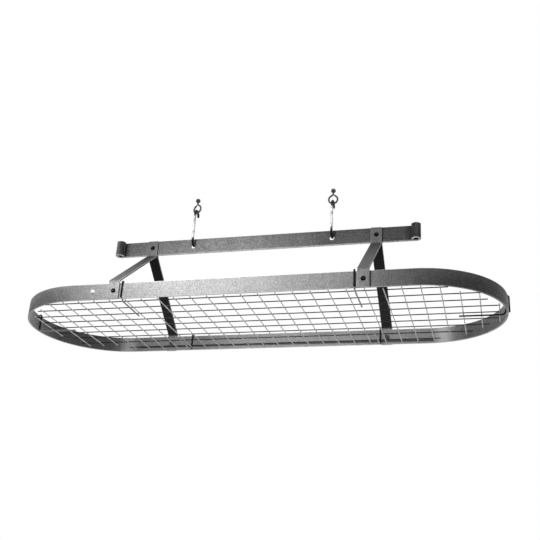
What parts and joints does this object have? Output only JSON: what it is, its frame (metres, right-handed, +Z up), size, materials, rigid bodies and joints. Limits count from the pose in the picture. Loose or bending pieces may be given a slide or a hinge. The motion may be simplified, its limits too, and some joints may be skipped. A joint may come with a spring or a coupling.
{
  "type": "hanging pot rack",
  "caption": "Ceiling-hung oval pot rack: flat-steel band on bent legs under a scroll-ended bar, loose wire mesh on rod clips, rod links and ceiling hooks.",
  "frame": {"origin": "midway between the two ceiling hooks, in the plane of the ceiling, at the middle of the two threaded holes", "axes": "+X along the rack to the right, -Y towards the front, +Z up; the whole rack hangs below Z = 0"},
  "size_m": [1.5342, 0.5126, 0.4608],
  "materials": {
    "hammered_steel": "hammered grey coat, half gloss",
    "plated_steel": "plated rod, semi-bright",
    "dark_steel": "dark plated rod, satin",
    "black_steel": "black oxide, half gloss",
    "bright_zinc": "bright zinc",
    "mesh_wire": "galvanised wire, dull"
  },
  "bodies": {
    "ceiling_hooks": {"left_ceiling_hook": "dark_steel", "right_ceiling_hook": "dark_steel"},
    "left_hanging_link": {"left_link": "plated_steel"},
    "right_hanging_link": {"right_link": "plated_steel"},
    "rack": {"top_bar": "hammered_steel", "oval_band": "hammered_steel", "front_left_leg": "hammered_steel", "front_right_leg": "hammered_steel", "back_left_leg": "hammered_steel", "back_right_leg": "hammered_steel", "front_left_bolt": "black_steel", "front_right_bolt": "black_steel", "back_left_bolt": "black_steel", "back_right_bolt": "black_steel", "top_left_bolt": "black_steel", "top_right_bolt": "black_steel", "front_left_nut": "black_steel", "front_right_nut": "black_steel", "back_left_nut": "black_steel", "back_right_nut": "black_steel", "top_left_nut": "black_steel", "top_right_nut": "black_steel", "bright_screw": "bright_zinc", "bright_nut": "bright_zinc"},
    "wire_mesh": {"long_wires": "mesh_wire", "cross_wires": "mesh_wire"},
    "front_left_rod_clip": {"front_left_clip": "dark_steel"},
    "front_right_rod_clip": {"front_right_clip": "dark_steel"},
    "back_left_rod_clip": {"back_left_clip": "dark_steel"},
    "back_right_rod_clip": {"back_right_clip": "dark_steel"},
    "left_end_rod_clip": {"left_end_clip": "dark_steel"},
    "right_end_rod_clip": {"right_end_clip": "dark_steel"}
  },
  "joints": [
    {"name": "left_link_swing", "type": "hinge", "parent": "ceiling_hooks", "child": "left_hanging_link", "pos_m": [-0.2335, 0, -0.0462], "axis": [0, 1, 0], "range_deg": [-25, 25]},
    {"name": "right_link_swing", "type": "hinge", "parent": "ceiling_hooks", "child": "right_hanging_link", "pos_m": [0.2335, 0, -0.0462], "axis": [0, 1, 0], "range_deg": [-25, 25]},
    {"name": "rack_swing", "type": "hinge", "parent": "left_hanging_link", "child": "rack", "pos_m": [-0.2335, 0, -0.1752], "axis": [0, 1, 0], "range_deg": [-25, 25]},
    {"name": "mesh_lift", "type": "slide", "parent": "rack", "child": "wire_mesh", "axis": [0, 0, 1], "range_m": [0, 0.04]},
    {"name": "front_left_clip_slide", "type": "slide", "parent": "rack", "child": "front_left_rod_clip", "axis": [1, 0, 0], "range_m": [-0.0055, 0.0025]},
    {"name": "front_right_clip_slide", "type": "slide", "parent": "rack", "child": "front_right_rod_clip", "axis": [1, 0, 0], "range_m": [-0.02, 0.0055]},
    {"name": "back_left_clip_slide", "type": "slide", "parent": "rack", "child": "back_left_rod_clip", "axis": [1, 0, 0], "range_m": [-0.055, 0.28]},
    {"name": "back_right_clip_slide", "type": "slide", "parent": "rack", "child": "back_right_rod_clip", "axis": [1, 0, 0], "range_m": [-0.3, 0]},
    {"name": "left_end_clip_slide", "type": "hinge", "parent": "rack", "child": "left_end_rod_clip", "pos_m": [-0.5145, 0, -0.405], "axis": [0, 0, 1], "range_deg": [-12, 12]},
    {"name": "right_end_clip_slide", "type": "hinge", "parent": "rack", "child": "right_end_rod_clip", "pos_m": [0.5145, 0, -0.405], "axis": [0, 0, 1], "range_deg": [-12, 12]}
  ],
  "couplings": [
    {"joint": "left_link_swing", "follows": "rack_swing", "ratio": -1},
    {"joint": "right_link_swing", "follows": "rack_swing", "ratio": -1}
  ]
}
